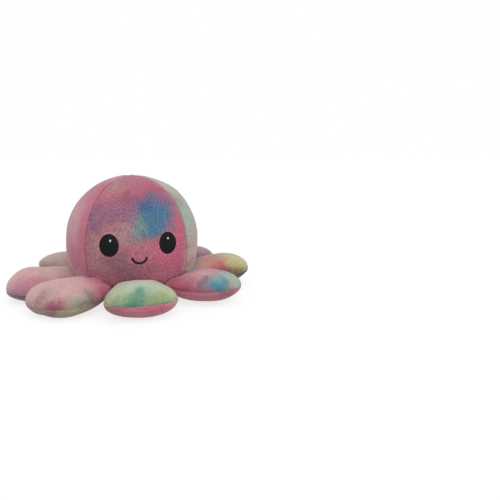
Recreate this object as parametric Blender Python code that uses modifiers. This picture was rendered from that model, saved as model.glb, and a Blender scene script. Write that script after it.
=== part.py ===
"""A plush octopus that turns inside out, as the sewn and stuffed pieces that it is made of.

Run it with: blender --background --python part.py

Metres, +Z up. The origin lies under the middle of the head, on the surface that the toy stands on.
The happy face looks along -Y. Left and right are those of someone who looks at that face.
"""

import math

import bmesh
import bpy
from mathutils import Matrix, Vector

# Sewing and fabric
FABRIC = 0.0015
CLEARANCE = 0.0003
SEAM_GAP = 0.0006
RIM_BAND = 0.0010
FLOOR_CUT = 0.0005

# Head, measured outside the fabric
HEAD_RADIUS = 0.0536
HEAD_WIDEST_HEIGHT = 0.0431
HEAD_CROWN_RISE = 0.0539
HEAD_BASE_DROP = 0.0530
HEAD_FULLNESS = 2.25
CREASE_HEIGHT = 0.0168
PANEL_NAMES = ("front", "right", "back", "left")
PANEL_SEAM_DEGREES = (-45.0, 52.0, 135.0, 225.0)

# Padded wall between the outside of the head and the pocket, and the pocket's own form
WALL_AT_SIDE = 0.0194
WALL_AT_CROWN = 0.0205
POCKET_BELOW_WIDEST = 0.0091
MOUTH_NARROWING = 0.0042
LINING_LIFT = 0.0008

# Ring that head, lining and tentacles are sewn to
RING_UNDERCUT = 0.0053

# Tentacles
TENTACLE_NAMES = ("front", "front_right", "right", "back_right", "back", "back_left", "left", "front_left")
TENTACLE_WIDTH = 0.0530
TENTACLE_THICKNESS = 0.0241
TENTACLE_SEAM_HEIGHT = 0.0118
TENTACLE_SPACING = 0.0100
TIP_REACH = 0.0240
ROOT_TUCK = 0.0008
ROOT_BELOW_CREASE = 0.0033
ROOT_SQUARENESS = 3.0
TIP_SQUARENESS = 2.2
ROOT_TAPER_SHARE = 0.2

# Happy face, on the front panel
EYE_WIDTH = 0.0153
EYE_TALL = 0.0171
EYE_ABOVE_WIDEST = 0.0045
EYE_DEGREES = 24.0
STITCH_RISE = 0.0008
GLINT_WIDTH = 0.0026
GLINT_ACROSS = 0.0008
GLINT_ABOVE = 0.0033
SMILE_WIDTH = 0.0104
SMILE_DROP = 0.0046
SMILE_BELOW_WIDEST = 0.0047
MOUTH_THREAD = 0.0014

# Angry face, on the front panel of the lining
ANGRY_EYE_WIDTH = 0.0156
ANGRY_EYE_TALL = 0.0166
ANGRY_EYE_ABOVE_WIDEST = 0.0045
ANGRY_EYE_DEGREES = 27.0
BROW_SHARE = 0.42
BROW_SLOPE_SHARE = 0.2
FROWN_WIDTH = 0.0112
FROWN_RISE = 0.0070
FROWN_BELOW_WIDEST = 0.0095

# Fineness of the meshes
PANEL_STEPS = 8
HEAD_RINGS = 10
LINING_STEPS = 8
LINING_RINGS = 8
PADDING_STEPS = 32
TENTACLE_SEGMENTS = 16
TENTACLE_RINGS = 5
EYE_SEGMENTS = 20
EYE_RINGS = 2
MOUTH_POINTS = 11
BORE_SEGMENTS = 32

TENTACLE_COUNT = len(TENTACLE_NAMES)
SECTOR = 2 * math.pi / TENTACLE_COUNT
FACE_DIRECTION = -math.pi / 2
WIDEST_RADIUS = (TENTACLE_WIDTH + TENTACLE_SPACING) / 2 / math.tan(SECTOR / 2)

PLUSH_ROUGHNESS = 0.9
HEAD_COLOURS = {
    "front": (0.50, 0.17, 0.26),
    "right": (0.52, 0.50, 0.38),
    "back": (0.52, 0.24, 0.34),
    "left": (0.52, 0.20, 0.28),
}
LINING_COLOUR = (0.42, 0.24, 0.38)
TOP_COLOURS = {
    "front": (0.38, 0.52, 0.40),
    "front_right": (0.48, 0.22, 0.26),
    "right": (0.54, 0.46, 0.27),
    "back_right": (0.34, 0.24, 0.30),
    "back": (0.45, 0.26, 0.36),
    "back_left": (0.42, 0.34, 0.27),
    "left": (0.52, 0.24, 0.29),
    "front_left": (0.50, 0.34, 0.34),
}
UNDERSIDE_COLOUR = (0.46, 0.14, 0.19)
RING_COLOUR = (0.50, 0.10, 0.22)
FIBRE_COLOUR = (0.85, 0.85, 0.83)
BLACK_THREAD = (0.008, 0.008, 0.009)
WHITE_THREAD = (0.85, 0.85, 0.85)


def new_collection(name):
    collection = bpy.data.collections.new(name)
    bpy.context.scene.collection.children.link(collection)
    return collection


def thread_or_plush(name, colour):
    """One Principled material, without metal, in the piece's own colour."""
    material = bpy.data.materials.new(name)
    material.use_nodes = True
    shader = material.node_tree.nodes["Principled BSDF"]
    shader.inputs["Base Color"].default_value = (*colour, 1.0)
    shader.inputs["Roughness"].default_value = PLUSH_ROUGHNESS
    shader.inputs["Metallic"].default_value = 0.0
    material.diffuse_color = (*colour, 1.0)
    return material


def add_piece(name, mesh, colour, collection, parent=None):
    """Puts a mesh in the scene as a named piece with its own material."""
    piece = bpy.data.objects.new(name, mesh)
    collection.objects.link(piece)
    piece.data.materials.append(thread_or_plush(name + "_material", colour))
    if parent is not None:
        piece.parent = parent
    return piece


def mesh_of(name, bm):
    """Turns a bmesh into a smooth mesh whose faces point outwards."""
    mesh = bpy.data.meshes.new(name)
    bm.to_mesh(mesh)
    bm.free()
    mesh.shade_smooth()
    return mesh


def thicken(piece, thickness, outwards=False):
    """Gives an open sheet its thickness, behind the modelled face unless told otherwise."""
    solidify = piece.modifiers.new("fabric", "SOLIDIFY")
    solidify.thickness = thickness
    solidify.offset = 1.0 if outwards else -1.0


def turn_profile(piece, angle, steps):
    """Turns a profile, drawn at +X and running down its outer side, about the Z axis."""
    screw = piece.modifiers.new("turning", "SCREW")
    screw.axis = "Z"
    screw.angle = angle
    screw.steps = steps
    screw.render_steps = steps
    screw.use_merge_vertices = True
    screw.merge_threshold = CLEARANCE / 10
    screw.use_smooth_shade = True


def profile_mesh(name, points):
    """A chain of edges through points given as (distance from the axis, height)."""
    mesh = bpy.data.meshes.new(name)
    vertices = [(radius, 0.0, height) for radius, height in points]
    edges = [(i, i + 1) for i in range(len(vertices) - 1)]
    mesh.from_pydata(vertices, edges, [])
    return mesh


class Dome:
    """A dome of revolution whose upright section is a superellipse, fuller than a circle."""

    def __init__(self, radius, widest_height, rise, drop, base_height):
        self.radius = radius
        self.widest_height = widest_height
        self.rise = rise
        self.drop = drop
        self.base_height = base_height

    def radius_at(self, height):
        """Distance from the axis to the surface at a height."""
        reach = self.rise if height > self.widest_height else self.drop
        share = min(1.0, abs(height - self.widest_height) / reach)
        return self.radius * (1.0 - share**HEAD_FULLNESS) ** (1.0 / HEAD_FULLNESS)

    def normal_at(self, height):
        """Outward normal of the section, as (away from the axis, up)."""
        up = height > self.widest_height
        reach = self.rise if up else self.drop
        share = min(1.0, abs(height - self.widest_height) / reach)
        out = (self.radius_at(height) / self.radius) ** (HEAD_FULLNESS - 1.0) / self.radius
        rise = share ** (HEAD_FULLNESS - 1.0) / reach * (1.0 if up else -1.0)
        length = math.hypot(out, rise)
        return out / length, rise / length

    def base_turn(self):
        """Turn from the crown to the base, where the widest ring is a quarter turn."""
        share = (self.widest_height - self.base_height) / self.drop
        return math.pi / 2 + math.asin(share ** (HEAD_FULLNESS / 2))

    def section(self, rings, offset=0.0):
        """Points from the crown down to the base, moved outwards along the normals by offset."""
        points = []
        for i in range(rings + 1):
            turn = self.base_turn() * i / rings
            lift = abs(math.cos(turn)) ** (2 / HEAD_FULLNESS)
            height = self.widest_height + (self.rise * lift if turn < math.pi / 2 else -self.drop * lift)
            out, up = self.normal_at(height) if i else (0.0, 1.0)
            radius = self.radius_at(height) if i else 0.0
            points.append((radius + out * offset, height + up * offset))
        return points

    def point(self, azimuth, height, offset=0.0):
        """A point on the surface, moved outwards along the normal by offset."""
        out, up = self.normal_at(height)
        distance = self.radius_at(height) + out * offset
        return Vector((distance * math.cos(azimuth), distance * math.sin(azimuth), height + up * offset))


HEAD = Dome(HEAD_RADIUS, HEAD_WIDEST_HEIGHT, HEAD_CROWN_RISE, HEAD_BASE_DROP, CREASE_HEIGHT)
CREASE_RADIUS = HEAD.radius_at(CREASE_HEIGHT)
POCKET_RADIUS = HEAD_RADIUS - WALL_AT_SIDE
POCKET_WIDEST_HEIGHT = HEAD_WIDEST_HEIGHT - POCKET_BELOW_WIDEST
POCKET_CROWN_RISE = HEAD_CROWN_RISE + POCKET_BELOW_WIDEST - WALL_AT_CROWN
MOUTH_SHARE = (POCKET_RADIUS - MOUTH_NARROWING) / POCKET_RADIUS
MOUTH_DROP_SHARE = (1.0 - MOUTH_SHARE**HEAD_FULLNESS) ** (1.0 / HEAD_FULLNESS)
POCKET_BASE_DROP = (POCKET_WIDEST_HEIGHT - LINING_LIFT) / MOUTH_DROP_SHARE
POCKET = Dome(POCKET_RADIUS, POCKET_WIDEST_HEIGHT, POCKET_CROWN_RISE, POCKET_BASE_DROP, LINING_LIFT)


def panel_spans():
    """Each panel's name, first seam and angle, counted from the face's direction."""
    seams = [math.radians(degrees) for degrees in PANEL_SEAM_DEGREES]
    for i, name in enumerate(PANEL_NAMES):
        first = seams[i]
        following = seams[i + 1] if i + 1 < len(seams) else seams[0] + 2 * math.pi
        yield name, FACE_DIRECTION + first, following - first


def make_dome_panels(prefix, dome, rings, steps, colour_of, outwards, collection):
    """Four gores of one dome, each moved off the axis so that the seams between them have one width."""
    for name, first_seam, span in panel_spans():
        node = f"{prefix}_{name}"
        mesh = profile_mesh(node, dome.section(rings))
        piece = add_piece(node, mesh, colour_of(name), collection)
        turn_profile(piece, span, steps)
        thicken(piece, FABRIC, outwards)
        middle = first_seam + span / 2
        off_axis = SEAM_GAP / 2 / math.sin(span / 2)
        piece.location = (off_axis * math.cos(middle), off_axis * math.sin(middle), 0.0)
        piece.rotation_euler = (0.0, 0.0, first_seam)


def make_head_padding(collection):
    """The fibre filling between the head's panels and the lining, down to the ring."""
    outer = [p for p in HEAD.section(HEAD_RINGS, -(FABRIC + CLEARANCE)) if p[1] > CREASE_HEIGHT]
    inner = [p for p in POCKET.section(LINING_RINGS * 2, FABRIC + CLEARANCE + SEAM_GAP) if p[1] > CREASE_HEIGHT]
    base_outer = (CREASE_RADIUS - FABRIC - 2 * CLEARANCE, CREASE_HEIGHT)
    base_inner = (POCKET.radius_at(CREASE_HEIGHT) + FABRIC + 2 * CLEARANCE + SEAM_GAP, CREASE_HEIGHT)
    points = outer + [base_outer, base_inner] + inner[::-1]
    padding = add_piece("head_padding", profile_mesh("head_padding", points), FIBRE_COLOUR, collection)
    turn_profile(padding, 2 * math.pi, PADDING_STEPS)


def make_skirt_ring(collection, cutters):
    """The eight-sided padded ring under the head: a tapered prism with the mouth cut through it."""
    height = CREASE_HEIGHT - CLEARANCE
    top_apothem = CREASE_RADIUS - FABRIC
    corner = 1 / math.cos(SECTOR / 2)
    bm = bmesh.new()
    bmesh.ops.create_cone(
        bm,
        cap_ends=True,
        segments=TENTACLE_COUNT,
        radius1=(top_apothem - RING_UNDERCUT) * corner,
        radius2=top_apothem * corner,
        depth=height,
        matrix=Matrix.Translation((0.0, 0.0, height / 2)) @ Matrix.Rotation(SECTOR / 2, 4, "Z"),
    )
    ring = add_piece("skirt_ring", mesh_of("skirt_ring", bm), RING_COLOUR, collection)

    bore = bmesh.new()
    bore_radius = POCKET.radius_at(height) + FABRIC + CLEARANCE + SEAM_GAP
    bmesh.ops.create_cone(
        bore,
        cap_ends=True,
        segments=BORE_SEGMENTS,
        radius1=bore_radius,
        radius2=bore_radius,
        depth=2 * CREASE_HEIGHT,
        matrix=Matrix.Translation((0.0, 0.0, height / 2)),
    )
    cutter = bpy.data.objects.new("mouth_cutter", mesh_of("mouth_cutter", bore))
    cutters.objects.link(cutter)
    cutter.hide_render = True
    cutter.display_type = "WIRE"
    cut = ring.modifiers.new("mouth", "BOOLEAN")
    cut.operation = "DIFFERENCE"
    cut.solver = "EXACT"
    cut.object = cutter


def root_radius():
    """Where the tentacles begin, just under the lower edge of the head's panels."""
    return CREASE_RADIUS + SEAM_GAP - ROOT_TUCK


def tentacle_point(direction, inset, underside):
    """Maps a point of the unit half sphere onto a tentacle that reaches along +X.

    In plan the outline is a superellipse, squarer at the root, that narrows towards it. Upright, the
    tentacle is half an ellipse above its seam and half of one below it, cut flat where it stands.
    """
    latitude = math.asin(max(-1.0, min(1.0, direction.z)))
    step = math.pi / 2 / TENTACLE_RINGS
    on_band = min(1.0, latitude / step)
    latitude = max(0.0, latitude - step) * TENTACLE_RINGS / (TENTACLE_RINGS - 1)
    turn = math.atan2(direction.y, direction.x)
    squareness = TIP_SQUARENESS if math.cos(turn) > 0 else ROOT_SQUARENESS
    along = math.copysign(abs(math.cos(turn)) ** (2 / squareness), math.cos(turn)) * math.cos(latitude)
    across = math.copysign(abs(math.sin(turn)) ** (2 / squareness), math.sin(turn)) * math.cos(latitude)

    reach = (TIP_REACH if along > 0 else WIDEST_RADIUS - root_radius()) - inset
    narrowing = 1.0 + ROOT_TAPER_SHARE * min(0.0, along)
    root_lift = CREASE_HEIGHT - ROOT_BELOW_CREASE - TENTACLE_SEAM_HEIGHT
    seam_height = TENTACLE_SEAM_HEIGHT + root_lift * min(0.0, along) ** 2
    x = WIDEST_RADIUS + along * reach
    y = across * narrowing * (TENTACLE_WIDTH / 2 - inset)
    if underside:
        swell = TENTACLE_SEAM_HEIGHT + FLOOR_CUT - RIM_BAND - SEAM_GAP / 2 - inset
        z = seam_height - SEAM_GAP / 2 - RIM_BAND * on_band - swell * math.sin(latitude)
        z = max(z, inset)
    else:
        swell = TENTACLE_THICKNESS - TENTACLE_SEAM_HEIGHT - RIM_BAND - SEAM_GAP / 2 - inset
        z = seam_height + SEAM_GAP / 2 + RIM_BAND * on_band + swell * math.sin(latitude)
    return Vector((x, y, z))


def half_sphere(segments, rings):
    """The upper half of a unit sphere, open along its equator."""
    bm = bmesh.new()
    bmesh.ops.create_uvsphere(bm, u_segments=segments, v_segments=2 * rings, radius=1.0)
    below = [v for v in bm.verts if v.co.z < -math.sin(math.pi / 4 / rings)]
    bmesh.ops.delete(bm, geom=below, context="VERTS")
    for vertex in bm.verts:
        vertex.co.z = max(0.0, vertex.co.z)
    return bm


def tentacle_sheet(name, underside):
    """One cover of a tentacle as an open sheet, its faces pointing outwards."""
    bm = half_sphere(TENTACLE_SEGMENTS, TENTACLE_RINGS)
    for vertex in bm.verts:
        vertex.co = tentacle_point(vertex.co, 0.0, underside)
    if underside:
        bmesh.ops.reverse_faces(bm, faces=bm.faces)
    return mesh_of(name, bm)


def tentacle_filling(name):
    """The stuffing of a tentacle: a closed sphere mapped onto the same form, inside its two covers."""
    inset = FABRIC + 2 * CLEARANCE
    bm = bmesh.new()
    bmesh.ops.create_uvsphere(bm, u_segments=TENTACLE_SEGMENTS, v_segments=2 * TENTACLE_RINGS, radius=1.0)
    for vertex in bm.verts:
        underside = vertex.co.z < 0
        direction = Vector((vertex.co.x, vertex.co.y, abs(vertex.co.z)))
        vertex.co = tentacle_point(direction, inset, underside)
    return mesh_of(name, bm)


def make_tentacle(index, name, collection):
    """One tentacle about its hinge at the crease: top cover, underside cover and filling."""
    direction = FACE_DIRECTION + index * SECTOR
    hinge = bpy.data.objects.new(f"tentacle_{name}_hinge", None)
    collection.objects.link(hinge)
    hinge.location = (root_radius() * math.cos(direction), root_radius() * math.sin(direction), CREASE_HEIGHT)
    hinge.rotation_euler = (0.0, 0.0, direction)
    to_hinge = Matrix.Translation((-root_radius(), 0.0, -CREASE_HEIGHT))

    top = tentacle_sheet(f"tentacle_{name}_top_cover", underside=False)
    bottom = tentacle_sheet(f"tentacle_{name}_underside_cover", underside=True)
    filling = tentacle_filling(f"tentacle_{name}_filling")
    for mesh, colour, is_sheet in (
        (top, TOP_COLOURS[name], True),
        (bottom, UNDERSIDE_COLOUR, True),
        (filling, FIBRE_COLOUR, False),
    ):
        mesh.transform(to_hinge)
        piece = add_piece(mesh.name, mesh, colour, collection, parent=hinge)
        if is_sheet:
            thicken(piece, FABRIC)


def brow(x, y, inner_side):
    """Cuts the top off an angry eye along a line that slopes down towards the middle of the face."""
    return min(y, BROW_SHARE - BROW_SLOPE_SHARE * x * inner_side)


def stitched_disc(name, dome, azimuth, height, width, tall, base, side, colour, collection, inner_side=0):
    """A raised satin-stitch oval on a dome, outside it (side 1) or inside it (side -1)."""
    bm = half_sphere(EYE_SEGMENTS, EYE_RINGS)
    for vertex in bm.verts:
        x = vertex.co.x
        y = brow(x, vertex.co.y, inner_side) if inner_side else vertex.co.y
        level = height + y * tall / 2
        turn = azimuth + x * width / 2 / dome.radius_at(height)
        vertex.co = dome.point(turn, level, side * base)
    if side < 0:
        bmesh.ops.reverse_faces(bm, faces=bm.faces)
    piece = add_piece(name, mesh_of(name, bm), colour, collection)
    thicken(piece, STITCH_RISE, outwards=True)


def stitched_line(name, dome, points, side, collection):
    """A thick line of stitches: a round thread laid on a dome through (across, height) points."""
    lift = side * (CLEARANCE + MOUTH_THREAD / 2)
    curve = bpy.data.curves.new(name, "CURVE")
    curve.dimensions = "3D"
    curve.bevel_depth = MOUTH_THREAD / 2
    curve.bevel_resolution = 1
    curve.use_fill_caps = True
    spline = curve.splines.new("POLY")
    spline.points.add(len(points) - 1)
    for spline_point, (across, height) in zip(spline.points, points):
        turn = FACE_DIRECTION + across / dome.radius_at(height)
        spline_point.co = (*dome.point(turn, height, lift), 1.0)
    add_piece(name, curve, BLACK_THREAD, collection)


def make_happy_face(collection):
    """Two round eyes with glints, and a smile, on the outside of the front panel."""
    base = CLEARANCE + SEAM_GAP
    eye_height = HEAD_WIDEST_HEIGHT + EYE_ABOVE_WIDEST
    smile_height = HEAD_WIDEST_HEIGHT - SMILE_BELOW_WIDEST
    for name, side in (("left", -1), ("right", 1)):
        azimuth = FACE_DIRECTION + side * math.radians(EYE_DEGREES)
        stitched_disc(
            f"eye_{name}", HEAD, azimuth, eye_height, EYE_WIDTH, EYE_TALL, base, 1, BLACK_THREAD, collection
        )
        shift = GLINT_ACROSS / HEAD_RADIUS
        stitched_disc(
            f"eye_{name}_glint",
            HEAD,
            azimuth + shift,
            eye_height + GLINT_ABOVE,
            GLINT_WIDTH,
            GLINT_WIDTH,
            base + STITCH_RISE + CLEARANCE,
            1,
            WHITE_THREAD,
            collection,
        )
    stitched_line("smile", HEAD, mouth_arc(SMILE_WIDTH, smile_height, -SMILE_DROP), 1, collection)


def mouth_arc(width, end_height, rise):
    """Half an ellipse between two ends at one height, bulging by rise."""
    points = []
    for i in range(MOUTH_POINTS):
        turn = math.pi * i / (MOUTH_POINTS - 1)
        points.append((width / 2 * math.cos(turn), end_height + rise * math.sin(turn)))
    return points


def make_angry_face(collection):
    """Two eyes cut off by sloping brows, with glints, and a frown, on the pocket side of the lining."""
    eye_height = POCKET_WIDEST_HEIGHT + ANGRY_EYE_ABOVE_WIDEST
    frown_height = POCKET_WIDEST_HEIGHT - FROWN_BELOW_WIDEST
    for name, side in (("left", -1), ("right", 1)):
        azimuth = FACE_DIRECTION + side * math.radians(ANGRY_EYE_DEGREES)
        stitched_disc(
            f"lining_eye_{name}",
            POCKET,
            azimuth,
            eye_height,
            ANGRY_EYE_WIDTH,
            ANGRY_EYE_TALL,
            CLEARANCE,
            -1,
            BLACK_THREAD,
            collection,
            inner_side=-side,
        )
        stitched_disc(
            f"lining_eye_{name}_glint",
            POCKET,
            azimuth,
            eye_height,
            GLINT_WIDTH,
            GLINT_WIDTH,
            CLEARANCE + STITCH_RISE + CLEARANCE,
            -1,
            WHITE_THREAD,
            collection,
        )
    stitched_line("frown", POCKET, mouth_arc(FROWN_WIDTH, frown_height, FROWN_RISE), -1, collection)


def main():
    for old in list(bpy.data.objects):
        bpy.data.objects.remove(old)
    octopus = new_collection("plush_octopus")
    cutters = new_collection("cutters")
    make_dome_panels("head_panel", HEAD, HEAD_RINGS, PANEL_STEPS, HEAD_COLOURS.get, False, octopus)
    make_dome_panels("lining_panel", POCKET, LINING_RINGS, LINING_STEPS, lambda _: LINING_COLOUR, True, octopus)
    make_head_padding(octopus)
    make_skirt_ring(octopus, cutters)
    for index, name in enumerate(TENTACLE_NAMES):
        make_tentacle(index, name, octopus)
    make_happy_face(octopus)
    make_angry_face(octopus)


main()
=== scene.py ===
import math

import bpy
import numpy as np
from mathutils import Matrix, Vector


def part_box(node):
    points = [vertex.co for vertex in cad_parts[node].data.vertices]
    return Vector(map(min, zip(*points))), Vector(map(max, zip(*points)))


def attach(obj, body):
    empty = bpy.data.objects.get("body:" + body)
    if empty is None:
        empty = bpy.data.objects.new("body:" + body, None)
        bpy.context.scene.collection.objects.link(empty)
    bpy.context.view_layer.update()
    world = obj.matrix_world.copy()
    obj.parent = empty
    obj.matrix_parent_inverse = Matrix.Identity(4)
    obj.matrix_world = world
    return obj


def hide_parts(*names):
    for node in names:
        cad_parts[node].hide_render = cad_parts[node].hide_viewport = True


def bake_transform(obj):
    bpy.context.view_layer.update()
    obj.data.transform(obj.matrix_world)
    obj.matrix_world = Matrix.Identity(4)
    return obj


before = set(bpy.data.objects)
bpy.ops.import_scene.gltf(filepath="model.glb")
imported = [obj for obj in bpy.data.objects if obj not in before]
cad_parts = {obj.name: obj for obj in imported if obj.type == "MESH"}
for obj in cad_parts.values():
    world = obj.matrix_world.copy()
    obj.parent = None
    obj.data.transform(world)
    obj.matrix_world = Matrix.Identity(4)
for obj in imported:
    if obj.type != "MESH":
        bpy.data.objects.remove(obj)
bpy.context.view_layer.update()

# Head padding: polyester fibre between the outer panels of the head and the lining of its pocket. It is
# stuffed in before the last seam is closed and doesn't show, a thick dome that is open at the bottom.
FABRIC = 0.0015
CLEARANCE = 0.0003
TINY = 1e-9
HEAD_RADIUS = 0.0538
HEAD_WIDEST_HEIGHT = 0.0419
HEAD_BASE_DROP = 0.0518
HEAD_FULLNESS_ABOVE = 2.10
HEAD_LEAN = (0.0010, -0.0003)
POCKET_RADIUS = 0.0342
POCKET_WIDEST_HEIGHT = 0.0340
POCKET_MOUTH_RADIUS = 0.0300
FULLNESS = 2.25
CREASE_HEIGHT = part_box("head_panel_front")[0].z
MOUTH_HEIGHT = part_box("lining_panel_front")[0].z
FACE_DIRECTION = -math.pi / 2
PADDING_LUMP = 0.0004
PADDING_SHY = 0.0020
PADDING_STEPS = 96
PADDING_ROWS = 48
POCKET_ROWS = 32
PADDING_WAVE = 0.012


class Dome:
    """A dome round Z whose upright section is a superellipse: at a turn from the crown, the distance from
    the axis is the radius times sin(turn) to the power 2 / fullness, and the height leaves the widest ring
    by the rise, or by the drop below it, times |cos(turn)| to that power. Above the widest ring the
    fullness may differ, and the dome leans by a vector that grows with the height."""

    def __init__(self, radius, widest, top, drop, base, fullness_above, lean=(0.0, 0.0)):
        self.radius, self.widest, self.rise, self.drop = radius, widest, top - widest, drop
        self.fullness_above, self.lean = fullness_above, np.array([*lean, 0.0])
        self.base_turn = math.pi / 2 + math.asin(((widest - base) / drop) ** (FULLNESS / 2))

    def fullness(self, turn):
        return np.where(turn < math.pi / 2, self.fullness_above, FULLNESS)

    def points(self, turn, azimuth):
        """Points at turns from the crown and azimuths from +X, for arrays of one shape."""
        power = 2 / self.fullness(turn)
        out = self.radius * np.abs(np.sin(turn)) ** power
        lift = np.abs(np.cos(turn)) ** power
        height = self.widest + np.where(turn < math.pi / 2, self.rise, -self.drop) * lift
        upright = np.stack([out * np.cos(azimuth), out * np.sin(azimuth), height], -1)
        return upright + self.lean * np.where(turn < math.pi / 2, lift, 0)[..., None]

    def turn_at(self, height):
        """The turn at which the dome has a height: the inverse of the height above."""
        above = height > self.widest
        share = np.clip((height - self.widest) / np.where(above, self.rise, -self.drop), 0, 1)
        turn = np.arccos(share ** (np.where(above, self.fullness_above, FULLNESS) / 2))
        return np.where(above, turn, math.pi - turn)


head_heights = (HEAD_WIDEST_HEIGHT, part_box("head_panel_front")[1].z, HEAD_BASE_DROP, CREASE_HEIGHT)
HEAD = Dome(HEAD_RADIUS, *head_heights, HEAD_FULLNESS_ABOVE, HEAD_LEAN)
pocket_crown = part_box("lining_panel_front")[1].z - FABRIC
mouth_share = (1 - (POCKET_MOUTH_RADIUS / POCKET_RADIUS) ** FULLNESS) ** (1 / FULLNESS)
pocket_drop = (POCKET_WIDEST_HEIGHT - MOUTH_HEIGHT) / mouth_share
POCKET = Dome(POCKET_RADIUS, POCKET_WIDEST_HEIGHT, pocket_crown, pocket_drop, MOUTH_HEIGHT, FULLNESS)


def ripple(where, wavelength, seed, waves=20):
    """Smooth noise of about -1 to 1: the sum of plane waves in random directions and from random starts,
    whose lengths lie round the one given. It takes points with any number of coordinates."""
    random = np.random.default_rng(seed)
    directions = random.normal(size=(where.shape[-1], waves))
    directions /= np.linalg.norm(directions, axis=0)
    numbers = 2 * math.pi / wavelength * random.uniform(0.6, 1.5, waves)
    starts = random.uniform(0, 2 * math.pi, waves)
    return np.cos(where @ (directions * numbers) + starts).sum(-1) / math.sqrt(waves)


def near(distance, width):
    """1 at a distance of nought, and falling off as exp(-(distance / width) squared)."""
    return np.exp(-((distance / width) ** 2))


def crossed(down, across):
    """Each value down a grid with each value across it, as two arrays."""
    return np.meshgrid(down, across, indexing="ij")


def full_turn(steps):
    """Angles all the way round in even steps."""
    return np.linspace(0, 2 * math.pi, steps, endpoint=False)


def raised(points, height):
    """Moves a grid of points outwards by a height, along the cross product of the steps down and across
    the grid. A row that is one point, a pole, takes the mean direction of the row next to it."""
    normal = np.cross(np.gradient(points, axis=0), np.gradient(points, axis=1))
    normal /= np.maximum(np.linalg.norm(normal, axis=-1, keepdims=True), TINY)
    for row, beside in ((0, 1), (-1, -2)):
        if np.ptp(points[row], axis=0).max() < TINY:
            normal[row] = normal[beside].mean(0) / np.linalg.norm(normal[beside].mean(0))
    return points + normal * np.asarray(height)[..., None]


def point_numbers(points):
    """A number for each point of a grid. A row that is one point, a pole, has one number."""
    index = np.arange(points.shape[0] * points.shape[1]).reshape(points.shape[:2])
    for row in (0, -1):
        if np.ptp(points[row], axis=0).max() < TINY:
            index[row] = index[row, 0]
    return index


LAYER_KINDS = {1: ("FLOAT", "value"), 3: ("FLOAT_VECTOR", "vector"), 4: ("FLOAT_COLOR", "color")}


def grid_mesh(name, points, around=False, looped=False, **layers):
    """A mesh of quads through a grid of points, with triangles round a pole. A grid that runs around joins
    its last column to its first, and a looped one its last row. Layers hold one value or vector for each
    point and become attributes."""
    index = point_numbers(points)
    if around:
        index = np.hstack([index, index[:, :1]])
    if looped:
        index = np.vstack([index, index[:1]])
    quads = np.stack([index[:-1, :-1], index[1:, :-1], index[1:, 1:], index[:-1, 1:]], -1)
    used, corners = np.unique(quads.reshape(-1, 4), return_inverse=True)
    corners = corners.reshape(-1, 4)
    kept = corners != np.roll(corners, 1, axis=1)
    sizes = kept.sum(1)
    mesh = bpy.data.meshes.new(name)
    mesh.vertices.add(len(used))
    mesh.vertices.foreach_set("co", points.reshape(-1, 3)[used].astype(np.float32).ravel())
    mesh.loops.add(int(sizes.sum()))
    mesh.loops.foreach_set("vertex_index", corners[kept].astype(np.int32))
    mesh.polygons.add(len(sizes))
    mesh.polygons.foreach_set("loop_start", (np.cumsum(sizes) - sizes).astype(np.int32))
    mesh.update(calc_edges=True)
    mesh.validate()
    for layer, values in layers.items():
        width = 1 if values.ndim == 2 else values.shape[-1]
        kind, field = LAYER_KINDS[width]
        attribute = mesh.attributes.new(layer, kind, "POINT")
        attribute.data.foreach_set(field, values.reshape(-1, width)[used].astype(np.float32).ravel())
    mesh.shade_smooth()
    return mesh


def add_piece(mesh, material, stands_for, body=None, thickness=0.0):
    """Puts a mesh in the scene as a piece that stands for a CAD node and rides on a body. A thickness goes
    behind the surface."""
    piece = bpy.data.objects.new(mesh.name, mesh)
    bpy.context.scene.collection.objects.link(piece)
    mesh.materials.append(material)
    if thickness:
        solidify = piece.modifiers.new("fabric", "SOLIDIFY")
        solidify.thickness = thickness
        solidify.offset = -1
    if body:
        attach(piece, body)
    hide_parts(stands_for)
    return piece


def add_node(tree, kind, inputs=None, **settings):
    """Adds a shader node with its settings, and fills its inputs with values or other nodes' outputs."""
    node = tree.nodes.new("ShaderNode" + kind)
    for setting, value in settings.items():
        setattr(node, setting, value)
    for socket, value in (inputs or {}).items():
        if isinstance(value, bpy.types.NodeSocket):
            tree.links.new(value, node.inputs[socket])
        else:
            node.inputs[socket].default_value = value
    return node


def mixed(tree, factor, first, second, blend="MIX"):
    """The colour between two, or their product and so on, by a factor."""
    colours = {0: factor, 6: first, 7: second}
    return add_node(tree, "Mix", colours, data_type="RGBA", blend_type=blend).outputs[2]


def ramped(tree, value, low, high, to_low, to_high):
    """A value carried from one range to another, and held at its ends."""
    ends = {"Value": value, 1: low, 2: high, 3: to_low, 4: to_high}
    return add_node(tree, "MapRange", ends).outputs[0]


def new_material(name, **values):
    """A material with a Principled shader, and the plain numbers that are the same all over it."""
    material = bpy.data.materials.new(name)
    material.use_nodes = True
    shader = material.node_tree.nodes["Principled BSDF"]
    for socket, value in values.items():
        shader.inputs[socket.replace("_", " ")].default_value = value
    return material, material.node_tree, shader


def add_bump(tree, shader, height, strength, distance):
    """Lets a height raise or dent a material's surface."""
    bump = add_node(tree, "Bump", {"Height": height, "Strength": strength, "Distance": distance})
    tree.links.new(bump.outputs["Normal"], shader.inputs["Normal"])


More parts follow.
